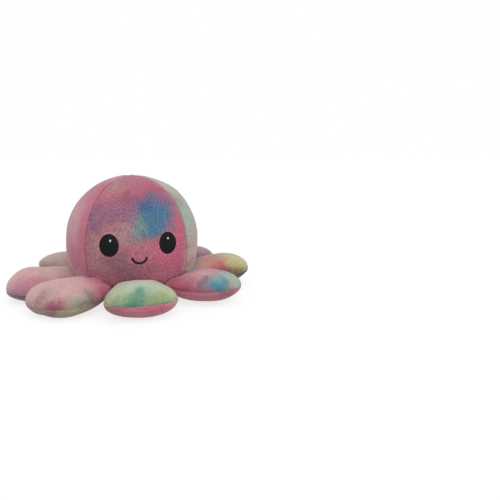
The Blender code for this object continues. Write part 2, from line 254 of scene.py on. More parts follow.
FIBRE_WHITE = (0.86, 0.85, 0.82, 1)
FIBRE_SHADE = (0.66, 0.65, 0.62, 1)
FIBRE_STRAND = 0.0022
FIBRE_BUMP = 0.6
FIBRE_BUMP_DEPTH = 0.0008
fibre_fill, tree, shader = new_material("fibre_fill", Roughness=1.0, Sheen_Weight=0.3)
place = add_node(tree, "TexCoord").outputs["Object"]
strand_sizes = {"Vector": place, "Scale": 1 / FIBRE_STRAND, "Detail": 6.0, "Distortion": 1.5}
strands = add_node(tree, "TexNoise", strand_sizes).outputs["Fac"]
tree.links.new(mixed(tree, strands, FIBRE_SHADE, FIBRE_WHITE), shader.inputs["Base Color"])
add_bump(tree, shader, strands, FIBRE_BUMP, FIBRE_BUMP_DEPTH)

azimuths = full_turn(PADDING_STEPS)
outer_turns = np.linspace(0, HEAD.base_turn, PADDING_ROWS)
inner_turns = np.linspace(POCKET.turn_at(np.array(CREASE_HEIGHT)), 0, POCKET_ROWS)
outer = raised(HEAD.points(*crossed(outer_turns, azimuths)), -FABRIC - PADDING_SHY)
inner = raised(POCKET.points(*crossed(inner_turns, azimuths)), -FABRIC - 2 * CLEARANCE)
lumps = ripple(outer, PADDING_WAVE, 11)[..., None] * PADDING_LUMP * outer / HEAD_RADIUS
padding_points = np.vstack([outer - np.abs(lumps), inner])
mesh = grid_mesh("padding_of_head", padding_points, around=True)
add_piece(mesh, fibre_fill, "head_padding", "head")


# Head panels: four gores of short-pile plush, tie-dyed before cutting and sewn together from the crown down
# to the crease. The seams lie in grooves, pucker a little, and meet slightly behind the highest point.
PANEL_NAMES = ("front", "right", "back", "left")
PANEL_SEAM_DEGREES = (-47.0, 47.8, 135.0, 225.0)
SEAMS_MEET_BEHIND = 0.0020
PANEL_ROWS = 190
PANEL_COLUMNS = 150
SEAM_DEPTH = 0.0009
SEAM_WIDTH = 0.0008
SHOULDER_DEPTH = 0.0003
SHOULDER_WIDTH = 0.0045
PUCKER_DEPTH = 0.0002
PUCKER_WAVE = 0.0048
PUCKER_REACH = 0.007
LUMP_DEPTH = 0.00022
LUMP_WAVE = 0.030
FOLD_HEIGHT = 0.0515
FOLD_DEPTH = 0.0004
FOLD_WIDTH = 0.0010
FOLD_SLOPE = 0.12
FOLD_REACH = 0.006
FOLD_OFF_SEAM = 0.002
BASE_WRINKLE = 0.0006
BASE_WRINKLE_WAVE = 0.0065
BASE_WRINKLE_STRETCH = (1.0, 1.0, 0.1)
BASE_WRINKLE_REACH = 0.007
BASE_BULGE = 0.0003
BASE_BULGE_REACH = 0.0030
BASE_SAG = 0.0016
BASE_SAG_REACH = 0.004
PILE_TUFT = 0.0013
PILE_STROKE = (1.0, 1.0, 0.6)
PILE_DEPTH = 0.00018
PANEL_PILE = dict(front=1.1, right=0.45, back=0.6, left=0.4)
SEAM_SHADE = 0.34
HALO = 0.14
HALO_SIZE = 1.10
HALO_WIDTH = 0.08
CREASE_SHADE = 0.3
CREASE_SHADE_REACH = 0.0028
EYE_WIDTH = 0.0150
EYE_TALL = 0.0169
EYE_PLACES = dict(left=(-23.8, 0.0476), right=(24.3, 0.0474))

DYES = dict(
    pale_pink=(200, 144, 156),
    pale_dusty=(204, 162, 160),
    pale_grey=(188, 168, 160),
    pale_leaf=(178, 188, 148),
    pale_teal=(184, 196, 180),
    underside_rose=(192, 116, 132),
    rose=(178, 101, 121),
    old_rose=(168, 104, 122),
    dusty_pink=(182, 126, 140),
    soft_pink=(178, 128, 138),
    vivid_pink=(190, 92, 118),
    coral=(186, 112, 124),
    salmon=(190, 132, 124),
    magenta=(170, 80, 116),
    plum=(140, 78, 96),
    wine=(136, 86, 100),
    purple=(126, 94, 120),
    mauve_rose=(150, 102, 120),
    grey_purple=(128, 92, 106),
    mauve=(166, 134, 146),
    blue=(58, 84, 132),
    slate_blue=(96, 104, 134),
    teal_blue=(66, 114, 142),
    teal=(82, 142, 152),
    deep_teal=(72, 118, 108),
    green_teal=(88, 138, 112),
    teal_grey=(118, 136, 140),
    light_blue=(150, 178, 170),
    green=(152, 174, 156),
    leaf=(160, 176, 132),
    leaf_olive=(140, 154, 118),
    olive=(154, 136, 120),
    olive_grey=(150, 148, 130),
    beige=(160, 136, 126),
    beige_pink=(156, 122, 120),
    brown_grey=(122, 92, 96),
    plum_rose=(138, 92, 112),
    warm_beige=(182, 158, 150),
    brown_rose=(150, 108, 106),
    grey=(166, 166, 158),
    cream=(194, 174, 162),
    yellow_cream=(186, 178, 140),
    ochre=(186, 174, 108),
    mustard=(134, 120, 82),
    # An olive and a brown made darker as painted shade, for the right tentacle's underside and lower edge
    olive_with_painted_shade=(86, 78, 64),
    deep_rose=(178, 82, 104),
    brown_with_painted_shade=(104, 84, 74),
    red_pink=(184, 92, 100),
    yellow_green=(158, 150, 120),
    slate=(112, 104, 112),
)
DYE_EDGE = 1.15
DYE_BLEED = ((0.0150, 0.0018), (0.0050, 0.0006), (0.0016, 0.0005))


def tie_dye(ground, spots, where, seed, scale=(1.0, 1.0)):
    """Tie-dyed colour over places on the cloth in metres. A spot is a dye, its place and its reach across
    and down in units of the scale, and its share. It lies over the spots before it, full in its middle and
    gone past its reach, as share times exp(-distance to the power 2 * edge). Noise of three sizes bends the
    places, so that the dyes bleed. Colours mix as they are written, and come out linear."""
    spread = where.copy()
    for wave, bleed in DYE_BLEED:
        for axis in (0, 1):
            spread[..., axis] += bleed * ripple(where, wave, seed + 7 * axis + int(wave * 1e5))
    colour = np.zeros((*where.shape[:-1], 3)) + np.array(DYES[ground]) / 255
    for dye, right, up, wide, tall, share in spots:
        distance = ((spread - np.array([right, up]) * scale) / (np.array([wide, tall]) * scale)) ** 2
        cover = share * np.exp(-(distance.sum(-1) ** DYE_EDGE))
        colour += (np.array(DYES[dye]) / 255 - colour) * cover[..., None]
    linear = ((colour + 0.055) / 1.055) ** 2.4
    return np.concatenate([linear, np.ones((*where.shape[:-1], 1))], -1)


def pile_of(cloth):
    """The lie of the pile: tufts longer down the piece than across it, from about -1 to 1."""
    return ripple(cloth * np.array(PILE_STROKE), PILE_TUFT, 5, waves=40)


def head_lumps(points):
    """The uneven stuffing under the panels, which the embroidery follows too."""
    return LUMP_DEPTH * ripple(points, LUMP_WAVE, 3)


HEAD_SPOTS = dict(
    front=(
        ("wine", -9, 25, 26, 8, 0.9), ("vivid_pink", 38, 46, 12, 22, 0.6),
        ("vivid_pink", 24, 36, 12, 5, 0.5), ("mauve_rose", -18, 71, 30, 10, 0.9),
        ("old_rose", 6, 92, 34, 5, 0.8), ("beige_pink", -36, 90, 24, 4, 0.6),
        ("olive", -31, 89, 10, 3.5, 0.8), ("coral", -22, 86, 14, 5, 0.8), ("coral", -34, 84, 7, 3, 0.6),
        ("magenta", 33, 87, 16, 5, 0.9), ("plum", -5, 81, 14, 4, 0.6), ("purple", -41, 66, 9, 11, 0.9),
        ("purple", -13, 73, 11, 5, 0.5), ("beige_pink", -16, 52, 30, 8, 0.9),
        ("deep_rose", 20, 88, 16, 3, 0.5), ("plum_rose", 16, 82.5, 20, 3.5, 0.95),
        ("purple", 30, 78, 11, 4.5, 0.8), ("slate_blue", 21, 77, 15, 4, 0.9),
        ("blue", 9, 73.5, 10, 5.5, 1.0), ("teal_blue", 22, 70, 12.5, 8.5, 1.0),
        ("slate_blue", 12, 60, 15, 8, 0.7), ("teal_blue", 13, 64, 12, 8, 0.9),
        ("teal_blue", 10, 57, 11, 4.5, 0.5), ("green_teal", 3, 65, 4.5, 6, 0.75),
        ("teal_grey", 0, 60, 6, 8, 0.8), ("grey_purple", -20, 65, 10, 4, 0.5),
        ("beige", -13, 57, 8, 4.5, 0.7), ("warm_beige", 45, 30, 4, 12, 0.6), ("beige", -36, 44, 8, 7, 0.5),
        ("beige_pink", -36, 33, 9, 9, 0.8), ("brown_grey", -19, 38, 10, 5, 0.8),
        ("grey_purple", -14, 31, 12, 5, 0.7),
    ),
    right=(
        ("pale_grey", 56, 89, 16, 6, 0.9), ("olive_grey", 53, 77, 12, 6, 1.0),
        ("green", 56, 65, 14, 8, 1.0), ("grey", 58, 50, 14, 5, 0.8), ("warm_beige", 57, 41, 16, 7, 0.9),
        ("pale_dusty", 58, 33, 14, 5, 0.8), ("olive_grey", 52, 41, 4, 4, 0.8),
        ("salmon", 55, 27, 14, 5, 0.7), ("mauve", 90, 60, 20, 14, 0.8), ("teal", 112, 78, 14, 9, 0.7),
        ("vivid_pink", 118, 44, 16, 12, 0.7), ("olive", 95, 34, 14, 8, 0.6),
    ),
    back=(
        ("magenta", 150, 74, 16, 10, 0.8), ("olive", 176, 84, 18, 8, 0.7),
        ("purple", 200, 66, 14, 12, 0.8), ("teal_blue", 168, 52, 16, 10, 0.8),
        ("beige", 190, 40, 14, 9, 0.7), ("vivid_pink", 148, 40, 14, 12, 0.7),
        ("plum", 185, 24, 30, 6, 0.6),
    ),
    left=(
        ("rose", 300, 87, 40, 9, 0.85), ("rose", 311, 62, 8, 26, 0.8), ("rose", 300, 38, 24, 10, 0.8),
        ("old_rose", 302, 28, 18, 6, 0.8), ("mauve", 262, 60, 18, 14, 0.7),
        ("teal_grey", 244, 74, 12, 9, 0.7), ("grey_purple", 250, 40, 14, 10, 0.7),
    ),
)
HEAD_GROUNDS = dict(front="rose", right="grey", back="dusty_pink", left="pale_pink")
MILLIMETRE = 0.001
HEAD_PER_DEGREE = HEAD_RADIUS * math.pi / 180
PILE_TIPS = (0.52, 0.42, 0.42, 1)
TIP_SHARE = 0.14
TUFT_TONES = (0.93, 1.07)
STREAK_TONES = (0.96, 1.04)
# Painted shade between tufts and painted light on their tops, by the height of the pile
PILE_HEIGHT_SHADING = (0.74, 1.26)
PILE_ROUGHNESS = (0.98, 0.82)
STREAK_SCALE = 0.3
PLUSH_TUFT = 0.0016
PLUSH_SHEEN = 0.35
PLUSH_SHEEN_ROUGHNESS = 0.45
PLUSH_GLOSS = 0.15
PLUSH_BUMP = 0.5
PLUSH_BUMP_DEPTH = 0.0006


def make_pile_group():
    """The finish of plush for any dye: fine tufts and broader streaks of lighter and darker pile from two
    noises, and the height of the pile. Low places between tufts get painted shade and high ones painted
    light, and its tips are paler."""
    group = bpy.data.node_groups.new("short_pile", "ShaderNodeTree")
    for name, kind in (("Dye_and_shade", "Color"), ("Cloth", "Vector"), ("Pile", "Float"), ("Tuft", "Float")):
        group.interface.new_socket(name, in_out="INPUT", socket_type="NodeSocket" + kind)
    for name, kind in (("Colour", "Color"), ("Roughness", "Float"), ("Height", "Float")):
        group.interface.new_socket(name, in_out="OUTPUT", socket_type="NodeSocket" + kind)
    given = group.nodes.new("NodeGroupInput").outputs
    scale = add_node(group, "Math", {0: 1.0, 1: given["Tuft"]}, operation="DIVIDE").outputs[0]
    streak_scale = add_node(group, "Math", {0: scale, 1: STREAK_SCALE}, operation="MULTIPLY").outputs[0]
    tuft_sizes = {"Vector": given["Cloth"], "Scale": scale, "Detail": 3.0, "Roughness": 0.65}
    tufts = add_node(group, "TexNoise", tuft_sizes).outputs["Fac"]
    streak_sizes = {"Vector": given["Cloth"], "Scale": streak_scale, "Detail": 2.0, "Distortion": 0.6}
    streaks = add_node(group, "TexNoise", streak_sizes).outputs["Fac"]
    tuft_tone = ramped(group, tufts, 0.25, 0.75, *TUFT_TONES)
    streak_tone = ramped(group, streaks, 0.3, 0.7, *STREAK_TONES)
    # Painted shade and light from the pile's height: low places darker, high ones lighter
    pile_shading = ramped(group, given["Pile"], -1.6, 1.6, *PILE_HEIGHT_SHADING)
    tone = add_node(group, "Math", {0: tuft_tone, 1: streak_tone}, operation="MULTIPLY").outputs[0]
    tone = add_node(group, "Math", {0: tone, 1: pile_shading}, operation="MULTIPLY").outputs[0]
    toned = mixed(group, 1.0, given["Dye_and_shade"], tone, "MULTIPLY")
    tips = ramped(group, given["Pile"], 0.4, 2.0, 0.0, TIP_SHARE)
    result = group.nodes.new("NodeGroupOutput").inputs
    group.links.new(mixed(group, tips, toned, PILE_TIPS), result["Colour"])
    group.links.new(ramped(group, tufts, 0.2, 0.8, *PILE_ROUGHNESS), result["Roughness"])
    group.links.new(tufts, result["Height"])
    return group


PILE_GROUP = make_pile_group()


def plush(name):
    """A plush whose dye colour, with any painted shade multiplied into it, place on the cloth and lie of the
    pile come from the piece's attributes.
    """
    sheen = dict(Sheen_Weight=PLUSH_SHEEN, Sheen_Roughness=PLUSH_SHEEN_ROUGHNESS)
    material, tree, shader = new_material(name, **sheen, Specular_IOR_Level=PLUSH_GLOSS)
    given = {"Tuft": PLUSH_TUFT}
    layers = (("Dye_and_shade", "dye", "Color"), ("Cloth", "cloth", "Vector"), ("Pile", "pile", "Fac"))
    for socket, layer, output in layers:
        given[socket] = add_node(tree, "Attribute", attribute_name=layer).outputs[output]
    finish = add_node(tree, "Group", given, node_tree=PILE_GROUP).outputs
    tree.links.new(finish["Colour"], shader.inputs["Base Color"])
    tree.links.new(finish["Roughness"], shader.inputs["Roughness"])
    add_bump(tree, shader, finish["Height"], PLUSH_BUMP, PLUSH_BUMP_DEPTH)
    return material


HEAD_PLUSH = plush("head_plush")


def gore(dome, first, last, rows, columns, behind):
    """The grid of a gore between two seams: turns and azimuths in even steps, closer at the seams, with the
    directions tipped backwards near the crown by the cosine squared of the turn, and each point's distance
    to the nearer seam."""
    share = np.linspace(0, 1, columns)
    share = 0.6 * share + 0.4 * (1 - np.cos(math.pi * share)) / 2
    turn, azimuth = crossed(np.linspace(0, dome.base_turn, rows), first + (last - first) * share)
    tip = behind / dome.radius * np.where(turn < math.pi / 2, np.cos(turn), 0) ** 2
    x = np.sin(turn) * np.cos(azimuth)
    y = np.sin(turn) * np.sin(azimuth) * np.cos(tip) + np.cos(turn) * np.sin(tip)
    z = np.cos(turn) * np.cos(tip) - np.sin(turn) * np.sin(azimuth) * np.sin(tip)
    points = dome.points(np.arccos(np.clip(z, -1, 1)), np.arctan2(y, x))
    to_seam = np.minimum(np.abs(azimuth - first), np.abs(last - azimuth))
    return points, to_seam * dome.radius * np.sin(np.minimum(turn, math.pi / 2))


def place_on_gore(points, number, per_degree):
    """Each point's degrees round from the middle of the face, and its place on the cloth in metres: those
    degrees at their width on the dome, and the height."""
    degrees = np.degrees(np.arctan2(points[..., 1], points[..., 0])) + 90
    degrees = np.where(degrees < PANEL_SEAM_DEGREES[number] - 20, degrees + 360, degrees)
    return degrees, np.stack([degrees * per_degree, points[..., 2]], -1)


def evened(moves, passes):
    """Each move becomes half itself and a quarter each neighbour, along the grid and then round it, pass
    after pass. A pole keeps one move, the mean of its row."""
    for _ in range(passes):
        beside = np.concatenate([moves[:1], moves, moves[-1:]])
        moves = moves / 2 + (beside[:-2] + beside[2:]) / 4
        moves = moves / 2 + (np.roll(moves, 1, axis=1) + np.roll(moves, -1, axis=1)) / 4
        for row in (0, -1):
            moves[row] = moves[row].mean(0)
    return moves


def filled_out(cages, held, sewn, slack, most):
    """The folds and puckers of some closed cloth cages when the filling pushes on them, as the move of each
    point, by a cloth simulation in which held points stay and the cloth has slack everywhere but along its
    sewn points. The cages are already as full as the toy, so the broad part of the moves is taken off, and
    the rest is no longer than the most that is given."""
    stage = bpy.context.scene
    pieces = []
    for cage, fixed, seam in zip(cages, held, sewn):
        piece = bpy.data.objects.new("cage", grid_mesh("cage", cage, around=True))
        stage.collection.objects.link(piece)
        numbers = np.unique(point_numbers(cage), return_inverse=True)[1].reshape(cage.shape[:2])
        for group, points in (("held", fixed), ("sewn", seam)):
            piece.vertex_groups.new(name=group).add(np.unique(numbers[points]).tolist(), 1.0, "REPLACE")
        settings = piece.modifiers.new("cloth", "CLOTH").settings
        settings.vertex_group_mass = "held"
        settings.vertex_group_shrink = "sewn"
        settings.shrink_min = -slack
        settings.shrink_max = 0.0
        settings.bending_stiffness = CLOTH_BENDING
        settings.use_pressure = True
        settings.uniform_pressure_force = CLOTH_PRESSURE
        settings.effector_weights.gravity = 0
        pieces.append((piece, numbers))
    for step in range(1, CLOTH_STEPS + 1):
        stage.frame_set(step)
    depsgraph = bpy.context.evaluated_depsgraph_get()
    moves = []
    for (piece, numbers), cage, fixed in zip(pieces, cages, held):
        moved = piece.evaluated_get(depsgraph).data
        places = np.empty(3 * len(moved.vertices), np.float32)
        moved.vertices.foreach_get("co", places)
        move = places.reshape(-1, 3)[numbers] - cage
        move = (evened(move, FINE_PASSES) - evened(move, BROAD_PASSES)) * evened(1.0 - fixed[..., None], 2)
        length = np.maximum(np.linalg.norm(move, axis=-1, keepdims=True), TINY)
        moves.append(move * np.minimum(1, most / length))
        mesh = piece.data
        bpy.data.objects.remove(piece)
        bpy.data.meshes.remove(mesh)
    stage.frame_set(1)
    return moves


def cubic(share):
    """The weights of four neighbours in a row for a place between the middle two: a Catmull-Rom spline."""
    square, cube = share**2, share**3
    before, after = (2 * square - cube - share) / 2, (cube - square) / 2
    return before, (3 * cube - 5 * square + 2) / 2, (4 * square - 3 * cube + share) / 2, after


def between(grid, down, across):
    """Values of a grid that runs around, read at places between its points by cubics in both directions."""
    row, column = np.floor(down).astype(int), np.floor(across).astype(int)
    value = 0
    for step_down, weight_down in enumerate(cubic(down - row)):
        for step_across, weight_across in enumerate(cubic(across - column)):
            rows = np.clip(row + step_down - 1, 0, grid.shape[0] - 1)
            columns = (column + step_across - 1) % grid.shape[1]
            value = value + (weight_down * weight_across)[..., None] * grid[rows, columns]
    return value


def round_eyes(azimuth, height, name):
    """1 in a ring just outside each eye, where the colour is made lighter."""
    if name != "front":
        return 0 * azimuth
    distance = [
        np.hypot((azimuth - degrees) * HEAD_PER_DEGREE / EYE_WIDTH, (height - level) / EYE_TALL) * 2
        for degrees, level in EYE_PLACES.values()
    ]
    return near(np.min(distance, axis=0) - HALO_SIZE, HALO_WIDTH)


CAGE_ROWS = 72
CAGE_COLUMNS = 120
CLOTH_STEPS = 20
CLOTH_PRESSURE = 4.0
CLOTH_BENDING = 0.1
FINE_PASSES = 1
BROAD_PASSES = 30
HEAD_SLACK = 0.012
HEAD_GIVE = 0.0004
CROWN_STILL = 0.2
cage_turns = np.linspace(0, HEAD.base_turn, CAGE_ROWS)
cage = HEAD.points(*crossed(cage_turns, full_turn(CAGE_COLUMNS)))
cage = np.vstack([cage, np.zeros_like(cage[:1]) + cage[-1].mean(0)])
fixed = np.zeros(cage.shape[:2], bool)
fixed[:2] = fixed[-3:] = True
seam_shares = (np.radians(PANEL_SEAM_DEGREES) + FACE_DIRECTION) / (2 * math.pi)
sewn = fixed.copy()
sewn[:, np.round(seam_shares * CAGE_COLUMNS).astype(int) % CAGE_COLUMNS] = True
head_moves = filled_out([cage], [fixed], [sewn], HEAD_SLACK, HEAD_GIVE)[0]


def head_give(points):
    """The move of the head's cloth at some points of its plain dome."""
    turn = HEAD.turn_at(points[..., 2])
    across = np.arctan2(points[..., 1], points[..., 0]) / (2 * math.pi) * CAGE_COLUMNS
    give = between(head_moves, turn / HEAD.base_turn * (CAGE_ROWS - 1), across)
    return give * (1 - near(turn, CROWN_STILL))[..., None]


seam_degrees = (*PANEL_SEAM_DEGREES, PANEL_SEAM_DEGREES[0] + 360)
seams = [FACE_DIRECTION + math.radians(degrees) for degrees in seam_degrees]
for number, name in enumerate(PANEL_NAMES):
    seam_pair = seams[number : number + 2]
    smooth, to_seam = gore(HEAD, *seam_pair, PANEL_ROWS, PANEL_COLUMNS, SEAMS_MEET_BEHIND)
    cloth = smooth + 0.1 * number
    pile = PANEL_PILE[name] * pile_of(cloth)
    height = smooth[..., 2]
    over_base = height - CREASE_HEIGHT
    puckers = PUCKER_DEPTH * ripple(smooth, PUCKER_WAVE, 20) * near(to_seam, PUCKER_REACH)
    over_fold = height - FOLD_HEIGHT - FOLD_SLOPE * to_seam * np.sign(cloth[..., 0])
    fold = FOLD_DEPTH * near(over_fold, FOLD_WIDTH) * near(to_seam - FOLD_OFF_SEAM, FOLD_REACH)
    wrinkles = BASE_WRINKLE * ripple(smooth * np.array(BASE_WRINKLE_STRETCH), BASE_WRINKLE_WAVE, 30)
    wrinkles = wrinkles * near(over_base, BASE_WRINKLE_REACH)
    relief = head_lumps(smooth) + puckers + wrinkles - fold
    relief += PILE_DEPTH * pile * (1 - near(to_seam, SEAM_WIDTH))
    relief -= SEAM_DEPTH * near(to_seam, SEAM_WIDTH) + SHOULDER_DEPTH * near(to_seam, SHOULDER_WIDTH)
    relief += BASE_BULGE * near(over_base, BASE_BULGE_REACH)
    azimuth, where = place_on_gore(smooth, number, HEAD_PER_DEGREE)
    dye = tie_dye(HEAD_GROUNDS[name], HEAD_SPOTS[name], where, 40 + number, (HEAD_PER_DEGREE, MILLIMETRE))
    # Painted shade multiplied into the dye colour: darker in the seam grooves and in the crease at the base;
    # the ring round the eyes is made lighter
    shade = 1 - SEAM_SHADE * near(to_seam, SEAM_WIDTH) + HALO * round_eyes(azimuth, height, name)
    shade *= 1 - CREASE_SHADE * near(over_base, CREASE_SHADE_REACH)
    dye[..., :3] *= shade[..., None]
    points = raised(smooth, relief) + head_give(smooth)
    points[..., 2] -= BASE_SAG * np.sin(4 * np.radians(azimuth)) ** 2 * near(over_base, BASE_SAG_REACH)
    mesh = grid_mesh(f"plush_of_head_{name}", points, dye=dye, cloth=cloth, pile=pile)
    panel = add_piece(mesh, HEAD_PLUSH, f"head_panel_{name}", "head", FABRIC)


# Happy face: two round eyes with a small white glint each, and a smile, sewn into the front panel with dense
# satin stitches of thick glossy thread before the head is put together.
EYE_LIFT = 0.0002
EYE_ROWS = 90
EYE_COLUMNS = 70
STITCH_RISE = 0.0008
THREAD_PITCH = 0.00045
THREAD_DEPTH = 0.00006
GLINT_WIDTH = 0.0023
GLINT_DEGREES = dict(left=1.4, right=-0.2)
GLINT_ABOVE = 0.0034
GLINT_LIFT = 0.8 * STITCH_RISE
MOUTH_ROWS = 80
MOUTH_STEPS = 20
SMILE_HALF_DEGREES = 5.6
SMILE_HEIGHT = 0.0384
SMILE_DROP = 0.0047
MOUTH_THREAD = 0.0015
MOUTH_LENGTH = 0.0068
THREAD_BUMP = 0.35
THREAD_BUMP_DEPTH = 0.0001
THREAD_BLACK = (0.006, 0.007, 0.007, 1)
THREAD_EDGE = (0.020, 0.005, 0.010, 1)
THREAD_WHITE = (0.82, 0.82, 0.80, 1)


def satin(name, colour, edge_colour, roughness):
    """Thread with a soft shine, in one colour that turns to another at the edge of the stitching. Fine
    lines across it are the single strands."""
    material, tree, shader = new_material(name, Roughness=roughness, Specular_IOR_Level=0.1)
    cloth = add_node(tree, "Attribute", attribute_name="cloth").outputs["Vector"]
    edge = add_node(tree, "Attribute", attribute_name="edge").outputs["Fac"]
    strand_sizes = {"Vector": cloth, "Scale": 1 / THREAD_PITCH / 2, "Distortion": 1.2, "Detail": 2.0}
    strands = add_node(tree, "TexWave", strand_sizes, bands_direction="Y").outputs["Fac"]
    rim = ramped(tree, edge, 0.72, 1.0, 0.0, 1.0)
    colour = mixed(tree, rim, colour, edge_colour)
    tone = ramped(tree, strands, 0.0, 1.0, 0.8, 1.2)
    tree.links.new(mixed(tree, 1.0, colour, tone, "MULTIPLY"), shader.inputs["Base Color"])
    add_bump(tree, shader, strands, THREAD_BUMP, THREAD_BUMP_DEPTH)
    return material


BLACK_THREAD = satin("black_thread", THREAD_BLACK, THREAD_EDGE, 0.5)
WHITE_THREAD = satin("white_thread", THREAD_WHITE, THREAD_WHITE, 0.5)


def stitched_disc(
    name, dome, azimuth, height, width, tall, lift, rise, side=1, brow=None, lumps=None, give=None
):
    """A raised oval of stitches on a dome, on its outside (side 1) or inside (-1). Rows step across the
    oval by the cosine of equal angles, and columns from its lower edge to its upper one, which a brow line
    may cut off. It is highest in the middle, by the square root of one less the distance squared, and
    ridged by its threads."""
    turn, level = crossed(np.linspace(0, math.pi, EYE_ROWS), np.linspace(0, 1, EYE_COLUMNS))
    x = -np.cos(turn)
    top = np.sin(turn)
    bottom = -top
    if brow:
        top = np.minimum(top, np.maximum(brow(-side * x), bottom))
        top = np.where(np.sin(turn) < TINY, 0, top)
    y = bottom + (top - bottom) * level
    around = azimuth + side * x * width / 2 / dome.radius
    points = dome.points(dome.turn_at(height + y * tall / 2), around)
    distance = np.clip(np.maximum(np.hypot(x, y), np.abs(2 * level - 1)), 0, 1)
    cloth = np.stack([x * width / 2, y * tall / 2 + x * width / 6, np.zeros_like(x)], -1)
    ridges = THREAD_DEPTH * np.cos(2 * math.pi * cloth[..., 1] / THREAD_PITCH)
    bulge = rise * np.sqrt(1 - distance**2 * 0.96) + ridges * (1 - distance**8)
    if lumps:
        bulge = bulge + lumps(points)
    move = give(points) if give else 0
    return grid_mesh(name, raised(points, lift + bulge) + move, cloth=cloth, edge=distance)


def add_eye(
    kind, name, node, dome, azimuth, height, size, lift, glint_place, glint_lift, brow=None, **surface
):
    """An eye of black stitches and its glint of white ones, as two pieces of the head. The glint lies off
    the middle of the eye by an angle and a height."""
    eye = (azimuth, height, *size, lift, STITCH_RISE)
    mesh = stitched_disc(f"satin_{kind}eye_{name}", dome, *eye, brow=brow, **surface)
    add_piece(mesh, BLACK_THREAD, node, "head", STITCH_RISE)
    glint_azimuth, glint_height = azimuth + glint_place[0], height + glint_place[1]
    glint = (glint_azimuth, glint_height, GLINT_WIDTH, GLINT_WIDTH, glint_lift, STITCH_RISE / 2)
    mesh = stitched_disc(f"satin_{kind}glint_{name}", dome, *glint, **surface)
    add_piece(mesh, WHITE_THREAD, f"{node}_glint", "head", STITCH_RISE / 2)


on_head = dict(lumps=head_lumps, give=head_give)
for name, (degrees, height) in EYE_PLACES.items():
    azimuth = FACE_DIRECTION + math.radians(degrees)
    glint_place = (math.radians(GLINT_DEGREES[name]), GLINT_ABOVE)
    eye = (HEAD, azimuth, height, (EYE_WIDTH, EYE_TALL), EYE_LIFT)
    add_eye("", name, f"eye_{name}", *eye, glint_place, GLINT_LIFT, **on_head)


def stitched_line(name, dome, half_degrees, height, rise, side=1, lumps=None, give=None):
    """A mouth as a thick satin line: half an ellipse between two ends at one height, carried round a
    flattened tube whose width falls to nothing at its ends."""
    turn, around = crossed(np.linspace(0, math.pi, MOUTH_ROWS), full_turn(MOUTH_STEPS))
    azimuth = FACE_DIRECTION - math.radians(half_degrees) * np.cos(turn)
    middle = dome.points(dome.turn_at(height + rise * np.sin(turn)), azimuth)
    along = np.gradient(middle, axis=0)
    along /= np.linalg.norm(along, axis=-1, keepdims=True)
    out = middle - np.array([0, 0, dome.widest])
    out = side * (out - (out * along).sum(-1, keepdims=True) * along)
    out /= np.linalg.norm(out, axis=-1, keepdims=True)
    if lumps:
        middle = middle + side * out * lumps(middle)[..., None] + give(middle)
    beside = np.cross(along, out)
    radius = MOUTH_THREAD / 2 * np.minimum(1, np.sqrt(np.sin(turn) / 0.12)) * (1 + 0.05 * np.cos(turn * 60))
    across = out * (np.cos(around) * 0.8 + 0.35)[..., None] - beside * np.sin(around)[..., None]
    points = middle + radius[..., None] * across
    cloth = np.stack([around * MOUTH_THREAD, turn * MOUTH_LENGTH, np.zeros_like(turn)], -1)
    return grid_mesh(name, points, around=True, cloth=cloth, edge=np.zeros_like(turn))


mesh = stitched_line("satin_smile", HEAD, SMILE_HALF_DEGREES, SMILE_HEIGHT, -SMILE_DROP, **on_head)
add_piece(mesh, BLACK_THREAD, "smile", "head")


# Lining panels: four gores of plush like the outer ones, which become the outside of the head when the toy
# is turned. Pushed up into the pocket they have room to spare, so they gather in soft upright folds.
LINING_ROWS = 90
LINING_COLUMNS = 64
LINING_SEAM_DEPTH = 0.0006
GATHER_DEPTH = 0.0012
GATHER_WAVE = 0.011
GATHER_STRETCH = (1.0, 1.0, 0.3)
GATHER_HEIGHT = 0.02
GATHER_LEAST = 0.2
GATHER_OFF_CROWN = 0.006
LINING_SPOTS = dict(
    front=(
        ("magenta", -20, 40, 26, 14, 0.8),
        ("purple", 20, 52, 24, 12, 0.8),
        ("plum", 5, 14, 60, 9, 0.7),
    ),
    right=(("mauve", 80, 50, 26, 14, 0.8), ("brown_rose", 110, 24, 28, 12, 0.8)),
    back=(("plum", 170, 48, 28, 16, 0.8), ("purple", 200, 22, 26, 12, 0.7)),
    left=(("magenta", 250, 50, 24, 14, 0.8), ("grey_purple", 290, 26, 26, 12, 0.8)),
)
POCKET_PER_DEGREE = POCKET_RADIUS * math.pi / 180
LINING_PLUSH = plush("lining_plush")
for number, name in enumerate(PANEL_NAMES):
    smooth, to_seam = gore(POCKET, seams[number + 1], seams[number], LINING_ROWS, LINING_COLUMNS, 0.0)
    cloth = smooth + 0.1 * (10 + number)
    pile = pile_of(cloth)
    height = smooth[..., 2]
    gathers = ripple(smooth * np.array(GATHER_STRETCH), GATHER_WAVE, 60)
    gathers *= np.clip(height / GATHER_HEIGHT, GATHER_LEAST, 1)
    gathers = GATHER_DEPTH * (1 + gathers) / 2 * (1 - near(height - pocket_crown, GATHER_OFF_CROWN))
    relief = gathers + PILE_DEPTH * pile - LINING_SEAM_DEPTH * near(to_seam, SEAM_WIDTH)
    where = place_on_gore(smooth, number, POCKET_PER_DEGREE)[1]
    dye = tie_dye("old_rose", LINING_SPOTS[name], where, 80 + number, (POCKET_PER_DEGREE, MILLIMETRE))
    mesh = grid_mesh(f"plush_of_lining_{name}", raised(smooth, relief), dye=dye, cloth=cloth, pile=pile)
    panel = add_piece(mesh, LINING_PLUSH, f"lining_panel_{name}", "head", FABRIC)


